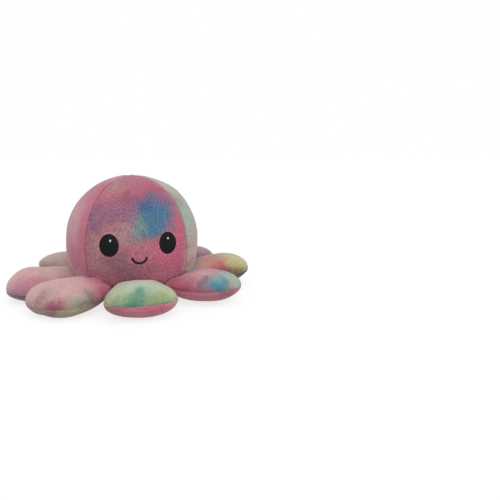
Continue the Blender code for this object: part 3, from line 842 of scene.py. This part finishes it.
# Angry face: the same stitches on the front panel of the lining. The brows cut off the tops of the eyes, and
# the mouth is a frown. It looks into the pocket and comes outside when the toy is turned.
ANGRY_EYE_WIDTH = 0.0156
ANGRY_EYE_TALL = 0.0166
ANGRY_EYE_HEIGHT = 0.0385
ANGRY_EYE_DEGREES = 27.0
BROW_SHARE = 0.42
BROW_SLOPE_SHARE = 0.2
FROWN_HALF_DEGREES = 9.4
FROWN_HEIGHT = 0.0245
FROWN_RISE = 0.0070
POCKET_LIFT = 0.0012
for name, side in (("left", -1), ("right", 1)):
    azimuth = FACE_DIRECTION + side * math.radians(ANGRY_EYE_DEGREES)
    eye = (POCKET, azimuth, ANGRY_EYE_HEIGHT, (ANGRY_EYE_WIDTH, ANGRY_EYE_TALL), POCKET_LIFT)
    glint = ((0.0, 0.0), POCKET_LIFT + STITCH_RISE)

    def brow(x, inner_side=-side):
        return BROW_SHARE - BROW_SLOPE_SHARE * x * inner_side

    add_eye("angry_", name, f"lining_eye_{name}", *eye, *glint, brow=brow, side=-1)
mesh = stitched_line("satin_frown", POCKET, FROWN_HALF_DEGREES, FROWN_HEIGHT, FROWN_RISE, side=-1)
add_piece(mesh, BLACK_THREAD, "frown", "head")


# Skirt ring: the middle of the eight-armed star of plush, with a little fibre in it. The head, the lining
# and the tentacles are all sewn to it, and it shows from below round the mouth of the pocket.
TENTACLE_COUNT = 8
SECTOR = 2 * math.pi / TENTACLE_COUNT
ROOT_RADIUS = 0.0470
ROOT_SEAM_HEIGHT = 0.0150
ROOT_DEPTH = 0.0128
RING_EDGE_RADIUS = 0.0460
RING_MOUTH_HEIGHT = 0.0012
LENS_POWER = 1.2
RING_STEPS = 240
RING_ROWS = 24
RING_TOP_RADII = (0.0385, 0.0445)
RING_EDGE_DROP = 0.0004
RING_BOTTOM_BULGE = 0.0006
RING_WALL_BOTTOM = 0.008
RING_WALL_SHARE = 1.06
RING_LUMP = 0.0002
RING_LUMP_WAVE = 0.006
RING_PLUSH = plush("ring_plush")
RING_SPOTS = (
    ("magenta", 0.03, -0.02, 0.02, 0.02, 0.7),
    ("plum", -0.03, 0.02, 0.02, 0.02, 0.7),
    ("vivid_pink", 0.0, -0.04, 0.03, 0.012, 0.7),
    ("grey_purple", -0.02, -0.03, 0.014, 0.014, 0.6),
)


def root_underside(azimuth):
    """The height of the tentacles' undersides at their roots: lens-shaped lobes, lowest in the middle of
    each tentacle and up at the seam between two."""
    off_middle = (azimuth - FACE_DIRECTION + SECTOR / 2) % SECTOR - SECTOR / 2
    across = np.clip(np.sin(off_middle) / math.sin(SECTOR / 2), -1, 1)
    return ROOT_SEAM_HEIGHT - ROOT_DEPTH * (1 - across**2) ** (LENS_POWER / 2)


azimuth = full_turn(RING_STEPS)[None]
inner_radius = POCKET_MOUTH_RADIUS + FABRIC + 2 * CLEARANCE
edge = root_underside(azimuth) - CLEARANCE
share = np.linspace(0, 1, RING_ROWS)[:, None]
ease = share**2 * (3 - 2 * share)
bottom_radius = RING_EDGE_RADIUS + (inner_radius - RING_EDGE_RADIUS) * share
bottom_height = edge + (RING_MOUTH_HEIGHT - edge) * ease + RING_BOTTOM_BULGE * np.sin(math.pi * share)
top = CREASE_HEIGHT - 2 * CLEARANCE
wall_turn = POCKET.turn_at(np.array([RING_WALL_BOTTOM, top]))
inner_wall = POCKET.points(*crossed(wall_turn, azimuth[0]))
inner_wall = inner_wall * np.array([RING_WALL_SHARE, RING_WALL_SHARE, 1.0])
profile = [(radius, top) for radius in RING_TOP_RADII]
profile += [(RING_EDGE_RADIUS, top - RING_EDGE_DROP), (bottom_radius, bottom_height)]
rings = []
for radius, height in profile:
    radius, height = np.atleast_2d(radius), np.atleast_2d(height)
    x, y = radius * np.cos(azimuth), radius * np.sin(azimuth)
    rings.append(np.stack(np.broadcast_arrays(x, y, height), -1))
points = np.vstack([*rings, inner_wall])
points[..., 2] += RING_LUMP * ripple(points, RING_LUMP_WAVE, 90)
dye = tie_dye("rose", RING_SPOTS, points[..., :2], 91)
layers = dict(dye=dye, cloth=points, pile=pile_of(points))
mesh = grid_mesh("plush_of_ring", points, around=True, looped=True, **layers)
add_piece(mesh, RING_PLUSH, "skirt_ring", "head")


# Tentacles: eight flat round petals of the star, each a top cover of one dye and an underside cover of
# another, sewn together round the edge and stuffed with fibre.
TENTACLE_NAMES = ("front", "front_right", "right", "back_right", "back", "back_left", "left", "front_left")
TENTACLE_WIDTH = 0.0530
TENTACLE_THICKNESS = 0.0241
TENTACLE_SEAM_HEIGHT = 0.0118
WIDEST_RADIUS = 0.07605
TIP_REACH = 0.0240
ROOT_HALF_WIDTH = ROOT_RADIUS * math.sin(SECTOR / 2)
ROOT_TOP_HEIGHT = CREASE_HEIGHT - CLEARANCE
TIP_POWER = 1.0
ROOT_NARROWING_POWER = 2.2
ROOT_SWELL_POWER = 3.0
SEAM_RISE_POWER = 3.0
PATTERN_LENGTH = WIDEST_RADIUS + TIP_REACH - ROOT_RADIUS
TILT_POWER = 1.3
FLOOR_PRESS = 0.0012
FLOOR_SOFTNESS = 0.0012
PETAL_ROWS = 120
PETAL_COLUMNS = 84
EDGE_GROOVE = 0.0007
EDGE_GROOVE_WIDTH = 0.0007
EDGE_STILL = 0.0030
PETAL_LUMP = 0.00028
PETAL_LUMP_WAVE = 0.028
PETAL_PUCKER_REACH = 0.006
ROOT_FOLD_DEPTH = 0.0004
ROOT_FOLD_WAVE = 0.015
ROOT_FOLD_PLACE = 0.002
ROOT_FOLD_REACH = 0.009
ROOT_FOLD_BELOW = 0.3
ROOT_STILL = 0.0012
PETAL_PILE = 0.45
PETAL_EDGE_SHADE = 0.3
PETAL_EDGE_SHADE_ANGLE = 0.5
PETAL_EDGE_SHADE_START = 0.02
ROOT_SHADE = 0.1
ROOT_SHADE_REACH = 0.0045
FLOOR_SHADE = 0.4
FLOOR_SHADE_HEIGHT = 0.0014

TENTACLE_SHAPES = dict(
    front=dict(
        yaw=-1.5, reach=-0.0031, width=0.0004, thick=-0.0015, tilt=0.0029, seam=-0.0016, widest=0.0060,
    ),
    front_right=dict(
        yaw=0.4, reach=0.0005, width=-0.0050, thick=-0.0004, tilt=0.0025, seam=-0.0009, widest=-0.0025,
        swell=1.5, dip=0.003,
    ),
    right=dict(
        yaw=-4.5, reach=-0.0012, width=-0.0050, thick=0.0006, tilt=0.0066, seam=-0.0030, widest=-0.0030,
    ),
    back_right=dict(yaw=-1.3, reach=0.0013, width=-0.0005, thick=-0.0003, tilt=0.0021, seam=0.0008),
    back=dict(yaw=0.5, reach=-0.0005, thick=-0.0004, tilt=0.0015, seam=-0.0008, widest=0.0020),
    back_left=dict(yaw=1.95, reach=0.0018, width=-0.0016, thick=-0.0006, tilt=0.0037, seam=0.0005),
    left=dict(yaw=2.2, reach=0.0006, width=0.0014, thick=0.0002, seam=-0.0030, widest=0.0044),
    front_left=dict(
        yaw=-2.5, reach=-0.0012, width=0.0010, thick=0.0003, seam=-0.0026, widest=0.0060, swell=2.2,
    ),
)

TOP_GROUNDS = dict(
    front="pale_leaf",
    front_right="rose",
    right="yellow_cream",
    back_right="mauve",
    back="dusty_pink",
    back_left="pale_grey",
    left="pale_dusty",
    front_left="pale_dusty",
)
UNDERSIDE_GROUNDS = dict(
    front="underside_rose",
    front_right="underside_rose",
    # The right tentacle's underside: olive darkened as painted shade
    right="olive_with_painted_shade",
    back_right="plum",
    back="old_rose",
    back_left="grey_purple",
    left="slate",
    front_left="yellow_green",
)
TOP_SPOTS = dict(
    front=(
        ("pale_teal", 0.66, 0.02, 0.30, 0.45, 0.9), ("light_blue", 0.80, -0.05, 0.08, 0.20, 0.6),
        ("leaf", 0.89, 0.24, 0.09, 0.42, 0.9), ("light_blue", 0.82, 0.15, 0.09, 0.16, 0.8),
        ("teal", 0.89, -0.06, 0.11, 0.12, 0.8), ("green_teal", 0.90, -0.26, 0.08, 0.28, 0.9),
        ("deep_teal", 0.95, -0.12, 0.06, 0.30, 1.0), ("green_teal", 0.92, 0.13, 0.05, 0.14, 0.6),
        ("leaf_olive", 0.91, 0.28, 0.08, 0.38, 0.9), ("leaf_olive", 0.87, -0.64, 0.08, 0.24, 0.7),
        ("olive", 0.56, -0.96, 0.16, 0.12, 0.7), ("pale_dusty", 0.78, 0.97, 0.16, 0.12, 0.8),
        ("brown_rose", 0.20, 0.85, 0.14, 0.25, 0.6),
    ),
    front_right=(
        ("pale_dusty", 0.52, -0.35, 0.26, 0.44, 0.9), ("deep_rose", 0.28, -0.88, 0.24, 0.24, 0.8),
        ("grey_purple", 0.64, -0.62, 0.06, 0.15, 0.8), ("light_blue", 0.85, -0.05, 0.17, 0.46, 1.0),
        ("green", 0.98, -0.05, 0.10, 0.40, 0.7), ("teal", 0.81, -0.54, 0.13, 0.27, 1.0),
        ("teal_blue", 0.85, -0.60, 0.08, 0.13, 0.5), ("green_teal", 0.94, -0.40, 0.06, 0.14, 0.5),
        ("deep_rose", 0.66, -0.94, 0.16, 0.09, 0.8), ("warm_beige", 1.02, 0.10, 0.06, 0.30, 0.7),
    ),
    right=(
        ("mauve", 0.08, -0.1, 0.20, 0.9, 0.9), ("salmon", 0.30, -0.40, 0.17, 0.8, 0.9),
        ("soft_pink", 0.36, -0.20, 0.12, 0.2, 0.6), ("red_pink", 0.48, -0.68, 0.13, 0.22, 0.9),
        ("ochre", 0.74, -0.56, 0.16, 0.16, 0.7), ("mustard", 0.84, -0.80, 0.20, 0.17, 1.0),
        # The brown spot on the right tentacle's lower edge is painted shade
        ("brown_with_painted_shade", 0.66, -0.90, 0.30, 0.15, 0.9), ("plum", 0.42, -0.80, 0.10, 0.10, 0.6),
    ),
    back_right=(
        ("grey", 0.7, 0.2, 0.3, 0.5, 0.6), ("old_rose", 0.2, -0.3, 0.3, 0.5, 0.6),
        ("purple", 0.3, -0.8, 0.3, 0.2, 0.8),
    ),
    back=(("teal_blue", 0.6, 0.3, 0.3, 0.5, 0.7), ("cream", 0.8, -0.4, 0.25, 0.5, 0.6)),
    back_left=(("brown_rose", 0.60, 0.95, 0.3, 0.25, 0.6), ("salmon", 0.2, 0.4, 0.25, 0.5, 0.6)),
    left=(
        ("dusty_pink", 0.76, 0.84, 0.30, 0.32, 0.9), ("soft_pink", 0.50, 0.70, 0.14, 0.24, 0.9),
        ("pale_grey", 0.42, 0.30, 0.12, 0.30, 0.5), ("warm_beige", 0.20, 0.25, 0.20, 0.45, 0.6),
        ("brown_rose", 0.12, 0.70, 0.15, 0.30, 0.6),
    ),
    front_left=(
        ("warm_beige", 0.88, 0.27, 0.10, 0.28, 0.9), ("olive_grey", 0.66, 0.96, 0.26, 0.20, 0.9),
        ("grey", 0.62, 0.80, 0.12, 0.12, 0.4), ("grey_purple", 0.44, 0.90, 0.10, 0.14, 0.5),
        ("beige_pink", 0.97, 0.20, 0.07, 0.50, 0.8), ("rose", 0.06, 0.20, 0.20, 1.10, 0.9),
        ("plum", 0.92, 0.60, 0.08, 0.25, 0.9), ("vivid_pink", 0.17, 0.86, 0.17, 0.36, 0.95),
    ),
)
UNDERSIDE_SPOTS = dict(
    front=(
        ("vivid_pink", 0.93, 0.30, 0.06, 0.30, 0.7), ("wine", 0.8, -0.7, 0.2, 0.3, 0.4),
        ("pale_pink", 0.80, 0.95, 0.16, 0.2, 0.9),
    ),
    front_right=(("wine", 0.95, -0.35, 0.12, 0.4, 0.7),),
    right=(("mustard", 0.6, 0.3, 0.2, 0.6, 0.5),),
    back_right=(("magenta", 0.6, 0.0, 0.3, 0.6, 0.6),),
    back=(("magenta", 0.6, 0.0, 0.3, 0.6, 0.6),),
    back_left=(("slate", 0.6, 0.0, 0.3, 0.6, 0.6),),
    left=(("grey_purple", 0.5, 0.4, 0.3, 0.5, 0.6),),
    front_left=(
        ("beige_pink", 0.98, 0.2, 0.10, 0.6, 0.9), ("plum", 0.93, 0.50, 0.04, 0.20, 0.6),
        ("plum", 0.25, 0.95, 0.25, 0.2, 0.7),
    ),
)
TENTACLE_TOP_PLUSH = plush("tentacle_top_plush")
TENTACLE_UNDERSIDE_PLUSH = plush("tentacle_underside_plush")


def petal(
    along, around, upper, inset=0.0, reach=0.0, width=0.0, thick=0.0, tilt=0.0, seam=0.0, widest=0.0,
    swell=ROOT_SWELL_POWER, dip=0.0,
):
    """A tentacle that reaches along +X, at angles along it (-90 degrees is the root, 0 the widest place,
    90 the tip) and around it (0 the middle, 90 degrees the edge seam), each side its own grid. In plan the
    tip is a superellipse, and the root side narrows by a power of the way back and follows the crease's
    circle. Upright the section is the cosine of the angle around it to a power, a lens, and the tip is
    tilted up by a power of the way out. The underside is pressed flat where it meets the floor: half of its
    height plus the root of its square. The lengths make one tentacle's size differ from the pattern, and its
    top may rise later from the crease, by a lower power of the way back, and dip behind it."""
    back = np.where(along < 0, np.sin(-along), 0)
    tip = np.where(along > 0, np.sin(np.maximum(along, 0)) ** TIP_POWER, 0)
    narrow = np.cos(np.maximum(along, 0)) ** TIP_POWER
    full_half = (TENTACLE_WIDTH + width) / 2
    half = full_half * narrow - (full_half - ROOT_HALF_WIDTH) * back**ROOT_NARROWING_POWER - inset * narrow
    widest_radius = WIDEST_RADIUS + widest
    middle = widest_radius - (widest_radius - ROOT_RADIUS - inset) * back
    middle = middle + (TIP_REACH + reach - widest - inset) * tip
    sine = np.sin(around)
    groove = 0 if inset else EDGE_GROOVE
    edge = groove * near(half * (1 - np.abs(sine)), EDGE_GROOVE_WIDTH) * narrow
    y = (half - edge) * sine
    x = middle - back**2 * (middle - np.sqrt(np.maximum(middle**2 - y**2, 0)))
    seam_height = TENTACLE_SEAM_HEIGHT + seam
    lens = np.abs(np.cos(around)) ** LENS_POWER * narrow ** (LENS_POWER / TIP_POWER)
    depth = seam_height + FLOOR_PRESS
    depth = depth + (ROOT_DEPTH - depth) * back**SEAM_RISE_POWER - inset
    seam_height = seam_height + (ROOT_SEAM_HEIGHT - seam_height) * back**SEAM_RISE_POWER
    bulge = np.sqrt(np.maximum(1 - back**swell, 0))
    crown = ROOT_TOP_HEIGHT + (TENTACLE_THICKNESS + thick - ROOT_TOP_HEIGHT) * bulge - inset
    crown = crown - dip * back**2 * (1 - back**8)
    lifted = tilt * (np.maximum(x - ROOT_RADIUS, 0) / PATTERN_LENGTH) ** TILT_POWER
    above = seam_height + (crown - seam_height) * lens + lifted
    below = seam_height - depth * lens + lifted - inset
    pressed = (below + np.sqrt(below**2 + FLOOR_SOFTNESS**2)) / 2 + inset
    return np.stack([x, y, np.where(upper, above, pressed)], -1)


def turned(points, direction):
    """Points turned about Z from +X to a direction."""
    x, y = points[..., 0], points[..., 1]
    cosine, sine = math.cos(direction), math.sin(direction)
    return np.stack([x * cosine - y * sine, x * sine + y * cosine, points[..., 2]], -1)


def bends(piece):
    """Bakes a piece's place and turn into its mesh."""
    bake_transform(piece)


PETAL_CAGE_ROWS = 40
PETAL_CAGE_COLUMNS = 64
PETAL_SLACK = 0.02
STUFFING_SHY = 0.0018
PETAL_GIVE = 0.0006
STUFFING_ROWS = 40
STUFFING_COLUMNS = 48


def petal_grid(rows, columns):
    """Angles along a tentacle and all the way round it, on one closed grid."""
    along = np.linspace(-math.pi / 2, math.pi / 2, rows)
    return crossed(along, np.linspace(-math.pi, math.pi, columns, endpoint=False))


def with_root(points):
    """A closed grid whose open end at the root is shut by one point in its middle."""
    return np.vstack([np.zeros_like(points[:1]) + points[0].mean(0), points])


cage_along, cage_around = petal_grid(PETAL_CAGE_ROWS, PETAL_CAGE_COLUMNS)
petal_cages = []
for name in TENTACLE_NAMES:
    shape = {key: value for key, value in TENTACLE_SHAPES[name].items() if key != "yaw"}
    cage = petal(cage_along, cage_around, np.cos(cage_around) > 0, **shape)
    petal_cages.append(with_root(cage))
fixed = np.zeros(petal_cages[0].shape[:2], bool)
fixed[:3] = fixed[-4:] = True
sewn = fixed.copy()
sewn[:, [PETAL_CAGE_COLUMNS // 4, 3 * PETAL_CAGE_COLUMNS // 4]] = True
all_fixed, all_sewn = [fixed] * TENTACLE_COUNT, [sewn] * TENTACLE_COUNT
petal_moves = filled_out(petal_cages, all_fixed, all_sewn, PETAL_SLACK, PETAL_GIVE)

for number, name in enumerate(TENTACLE_NAMES):
    shape = dict(TENTACLE_SHAPES[name])
    direction = FACE_DIRECTION + number * SECTOR + math.radians(shape.pop("yaw"))
    for upper, part in ((True, "top"), (False, "underside")):
        across = np.linspace(-math.pi / 2, math.pi / 2, PETAL_COLUMNS)[:: 1 if upper else -1]
        along, around = crossed(np.linspace(-math.pi / 2, math.pi / 2, PETAL_ROWS), across)
        smooth = petal(along, around, upper, **shape)
        cloth = smooth + 0.1 * (30 + 2 * number + upper)
        pile = PETAL_PILE * pile_of(cloth)
        off_root = smooth[..., 0] - ROOT_RADIUS
        to_edge = TENTACLE_WIDTH / 2 * (math.pi / 2 - np.abs(around)) * np.cos(np.maximum(along, 0))
        inside = 1 - near(to_edge, EDGE_STILL)
        puckers = PUCKER_DEPTH * ripple(smooth, PUCKER_WAVE, 100 + number)
        puckers *= near(to_edge, PETAL_PUCKER_REACH)
        folds = ROOT_FOLD_DEPTH * ripple(smooth[..., 1:2], ROOT_FOLD_WAVE, 120 + number)
        folds *= near(off_root - ROOT_FOLD_PLACE, ROOT_FOLD_REACH) * (1 if upper else ROOT_FOLD_BELOW)
        lumps = PETAL_LUMP * ripple(smooth, PETAL_LUMP_WAVE, 140 + number)
        relief = (lumps + puckers + folds + PILE_DEPTH * pile) * inside * (1 - near(off_root, ROOT_STILL))
        if not upper:
            relief = np.minimum(relief, smooth[..., 2])
        ground = (TOP_GROUNDS if upper else UNDERSIDE_GROUNDS)[name]
        spots = (TOP_SPOTS if upper else UNDERSIDE_SPOTS)[name]
        where = np.stack([off_root, smooth[..., 1]], -1)
        dye = tie_dye(ground, spots, where, 160 + 2 * number + upper, (PATTERN_LENGTH, TENTACLE_WIDTH / 2))
        # Painted shade multiplied into the dye colour: the top cover darker towards its edge seam and at the
        # root crease, the underside darker near the floor
        if upper:
            shade = near(math.pi / 2 - np.abs(around), PETAL_EDGE_SHADE_ANGLE)
            shade = 1 - PETAL_EDGE_SHADE * shade * np.clip(off_root / PETAL_EDGE_SHADE_START, 0, 1)
            shade = shade * (1 - ROOT_SHADE * near(off_root, ROOT_SHADE_REACH))
        else:
            shade = 1 - FLOOR_SHADE * near(smooth[..., 2], FLOOR_SHADE_HEIGHT)
        dye[..., :3] *= shade[..., None]
        full_around = around if upper else np.where(around < 0, -math.pi, math.pi) - around
        cage_row = 1 + (along / math.pi + 0.5) * (PETAL_CAGE_ROWS - 1)
        cage_column = (full_around / (2 * math.pi) + 0.5) * PETAL_CAGE_COLUMNS
        move = between(petal_moves[number], cage_row, cage_column)
        points = raised(smooth, relief) + move * inside[..., None]
        points[..., 2] = np.maximum(points[..., 2], 0)
        layers = dict(dye=dye, cloth=cloth, pile=pile)
        mesh = grid_mesh(f"plush_of_tentacle_{name}_{part}", turned(points, direction), **layers)
        material = TENTACLE_TOP_PLUSH if upper else TENTACLE_UNDERSIDE_PLUSH
        node = f"tentacle_{name}_{part}_cover"
        cover = add_piece(mesh, material, node, thickness=FABRIC)
        bends(cover)

    along, around = petal_grid(STUFFING_ROWS, STUFFING_COLUMNS)
    stuffing = with_root(petal(along, around, np.cos(around) > 0, inset=FABRIC + STUFFING_SHY, **shape))
    mesh = grid_mesh(f"stuffing_of_tentacle_{name}", turned(stuffing, direction), around=True)
    filling = add_piece(mesh, fibre_fill, f"tentacle_{name}_filling")
    bends(filling)


# Stage: a plain white floor that keeps the toy's soft shadow and glows a little for all rays, which lights
# the toy from below, a wide soft light from above and in front, and even light from all round.
FLOOR_SIZE = 30.0
FLOOR_DROP = 0.0002
FLOOR_SHARE = 0.30
FLOOR_GLOW = 0.21
FLOOR_WHITE = 0.76
WORLD_STRENGTH = 0.68
LAMP_STRENGTH = 1.5
LAMP_SPREAD_DEGREES = 70.0
LAMP_DIRECTION = (0.15, -1.0, 0.65)
WHITE = (1, 1, 1, 1)


def seen_by_rays(tree):
    """1 for rays from the camera, and for those that gloss or glass sends on, or else 0."""
    path = add_node(tree, "LightPath").outputs
    either = add_node(tree, "Math", {0: path["Is Camera Ray"], 1: path["Is Glossy Ray"]}, operation="ADD")
    total = {0: either.outputs[0], 1: path["Is Transmission Ray"]}
    return add_node(tree, "Math", total, operation="ADD", use_clamp=True).outputs[0]


corners = FLOOR_SIZE / 2 * np.array([[[-1, 1, 0], [1, 1, 0]], [[-1, -1, 0], [1, -1, 0]]])
floor = bpy.data.objects.new("floor", grid_mesh("floor", corners - np.array([0, 0, FLOOR_DROP])))
bpy.context.scene.collection.objects.link(floor)
floor_white, tree, shader = new_material("floor_white", Roughness=1.0, Specular_IOR_Level=0.0)
shader.inputs["Base Color"].default_value = (FLOOR_SHARE, FLOOR_SHARE, FLOOR_SHARE, 1)
shader.inputs["Emission Color"].default_value = WHITE
# The floor glows at FLOOR_GLOW for every ray, so it lights the toy from below though it is no lamp, and at
# FLOOR_WHITE for the rays of seen_by_rays
glow = {"Value": seen_by_rays(tree), 3: FLOOR_GLOW, 4: FLOOR_WHITE}
tree.links.new(add_node(tree, "MapRange", glow).outputs[0], shader.inputs["Emission Strength"])
floor.data.materials.append(floor_white)

world = bpy.data.worlds.new("studio")
world.use_nodes = True
bpy.context.scene.world = world
tree = world.node_tree
background = tree.nodes["Background"]
background.inputs["Color"].default_value = WHITE
strength = {"Value": seen_by_rays(tree), 3: WORLD_STRENGTH, 4: 1.0}
tree.links.new(add_node(tree, "MapRange", strength).outputs[0], background.inputs["Strength"])

lamp_data = bpy.data.lights.new("soft_lamp", "SUN")
lamp_data.energy = LAMP_STRENGTH
lamp_data.angle = math.radians(LAMP_SPREAD_DEGREES)
lamp = bpy.data.objects.new("soft_lamp", lamp_data)
bpy.context.scene.collection.objects.link(lamp)
lamp.location = LAMP_DIRECTION
lamp.rotation_euler = (-Vector(LAMP_DIRECTION)).to_track_quat("-Z", "Y").to_euler()


# Camera: at a little above the toy and to its left, and looking slightly down. The toy stands in the left
# half of the frame, as in the photograph.
CAMERA_PLACE = (-0.0310, -0.4338, 0.1152)
CAMERA_YAW_DEGREES = 17.2
CAMERA_DOWN_DEGREES = 10.85
CAMERA_LENS = 36.52
camera_data = bpy.data.cameras.new("camera")
camera_data.lens = CAMERA_LENS
camera_data.sensor_width = 36.0
camera_data.clip_start = 0.01
camera = bpy.data.objects.new("camera", camera_data)
bpy.context.scene.collection.objects.link(camera)
camera.location = CAMERA_PLACE
camera.rotation_euler = (math.radians(90 - CAMERA_DOWN_DEGREES), 0.0, -math.radians(CAMERA_YAW_DEGREES))
bpy.context.scene.camera = camera
bpy.context.scene.view_settings.view_transform = "Standard"
